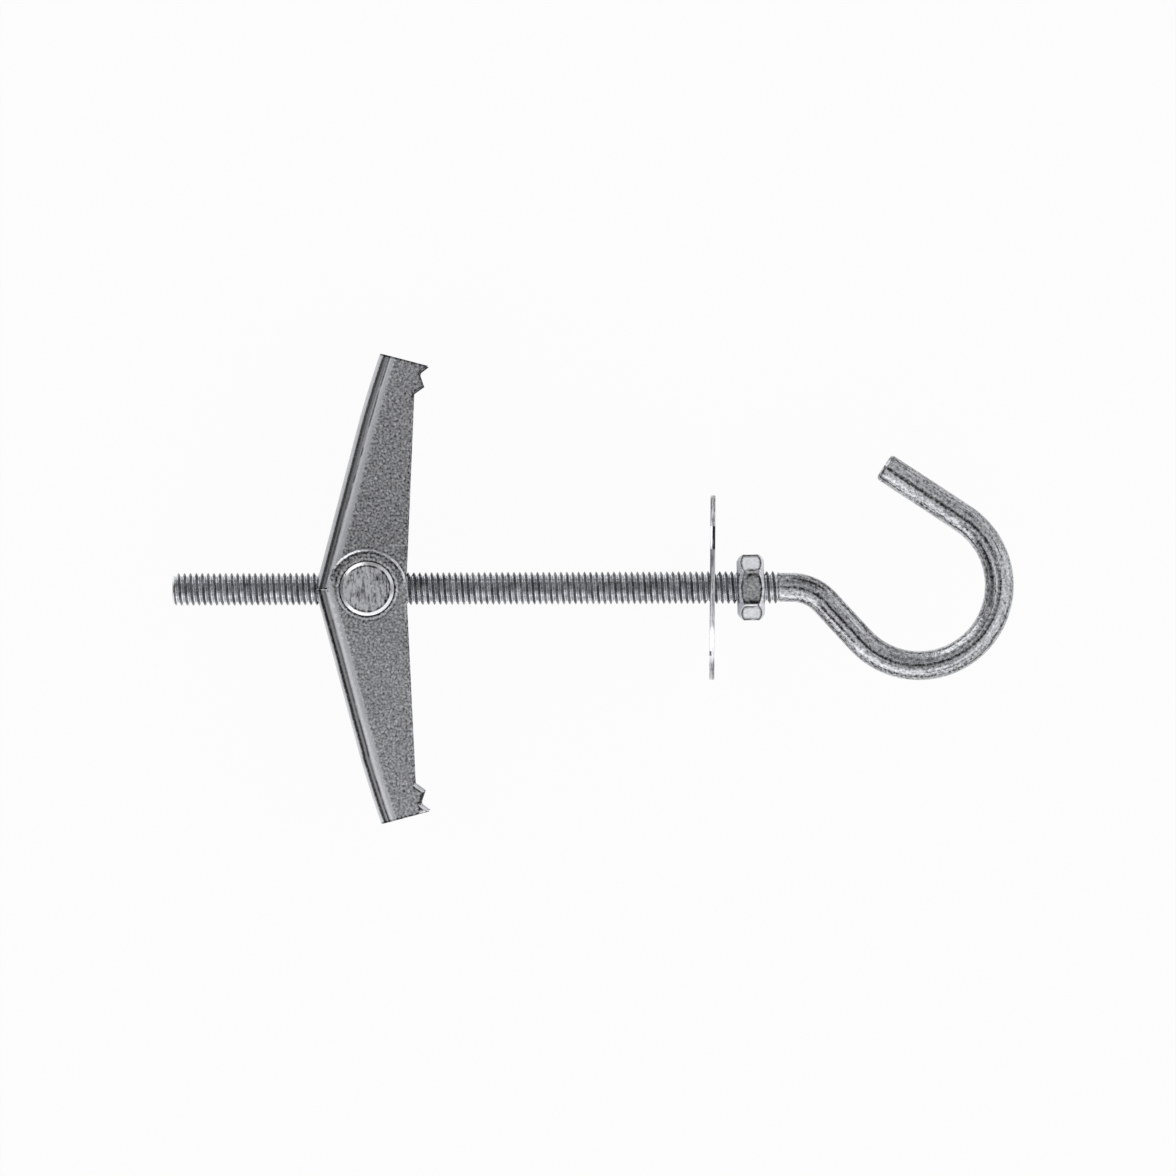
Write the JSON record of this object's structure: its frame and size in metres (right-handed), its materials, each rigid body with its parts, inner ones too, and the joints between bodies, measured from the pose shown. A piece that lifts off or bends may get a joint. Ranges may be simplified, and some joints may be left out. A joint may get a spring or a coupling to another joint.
{
  "type": "spring toggle bolt",
  "caption": "Spring toggle bolt with an open hook: folding channel wings on a cross nut, a threaded rod, a washer and a lock nut.",
  "frame": {"origin": "centre of the rod's free end face", "axes": "+X along the rod towards the hook, +Y across it towards the upper wing, +Z along the wings' pivot"},
  "size_m": [0.1001, 0.0556, 0.022],
  "materials": {
    "hook_bolt": "zinc-plated drawn wire with a rolled thread",
    "cross_nut": "zinc-plated turned bar",
    "torsion_spring": "spring wire, lightly oiled",
    "upper_wing": "zinc-plated pressed sheet, grainy",
    "lower_wing": "zinc-plated pressed sheet, grainy",
    "washer": "zinc-plated pressed disc",
    "lock_nut": "bright zinc plating"
  },
  "bodies": {
    "hook_bolt": {"hook_bolt": "hook_bolt"},
    "toggle": {"cross_nut": "cross_nut", "torsion_spring": "torsion_spring"},
    "upper_wing": {"upper_wing": "upper_wing"},
    "lower_wing": {"lower_wing": "lower_wing"},
    "washer": {"washer": "washer"},
    "lock_nut": {"lock_nut": "lock_nut"}
  },
  "joints": [
    {"name": "toggle_travel", "type": "slide", "parent": "hook_bolt", "child": "toggle", "axis": [1, 0, 0], "range_m": [-0.0195, 0.033]},
    {"name": "upper_wing_fold", "type": "hinge", "parent": "toggle", "child": "upper_wing", "pos_m": [0.0232, 0, 0], "axis": [0, 0, 1], "range_deg": [-75, 0], "stiffness_Nm_per_rad": 0.019, "springref_deg": 57.3, "deforming": ["torsion_spring"]},
    {"name": "lower_wing_fold", "type": "hinge", "parent": "toggle", "child": "lower_wing", "pos_m": [0.0232, 0, 0], "axis": [0, 0, -1], "range_deg": [-75, 0], "stiffness_Nm_per_rad": 0.019, "springref_deg": 57.3, "deforming": ["torsion_spring"]},
    {"name": "washer_slide", "type": "slide", "parent": "hook_bolt", "child": "washer", "axis": [1, 0, 0], "range_m": [-0.032, 0.0023]},
    {"name": "lock_nut_travel", "type": "slide", "parent": "hook_bolt", "child": "lock_nut", "axis": [1, 0, 0], "range_m": [-0.0023, 0.001]}
  ]
}
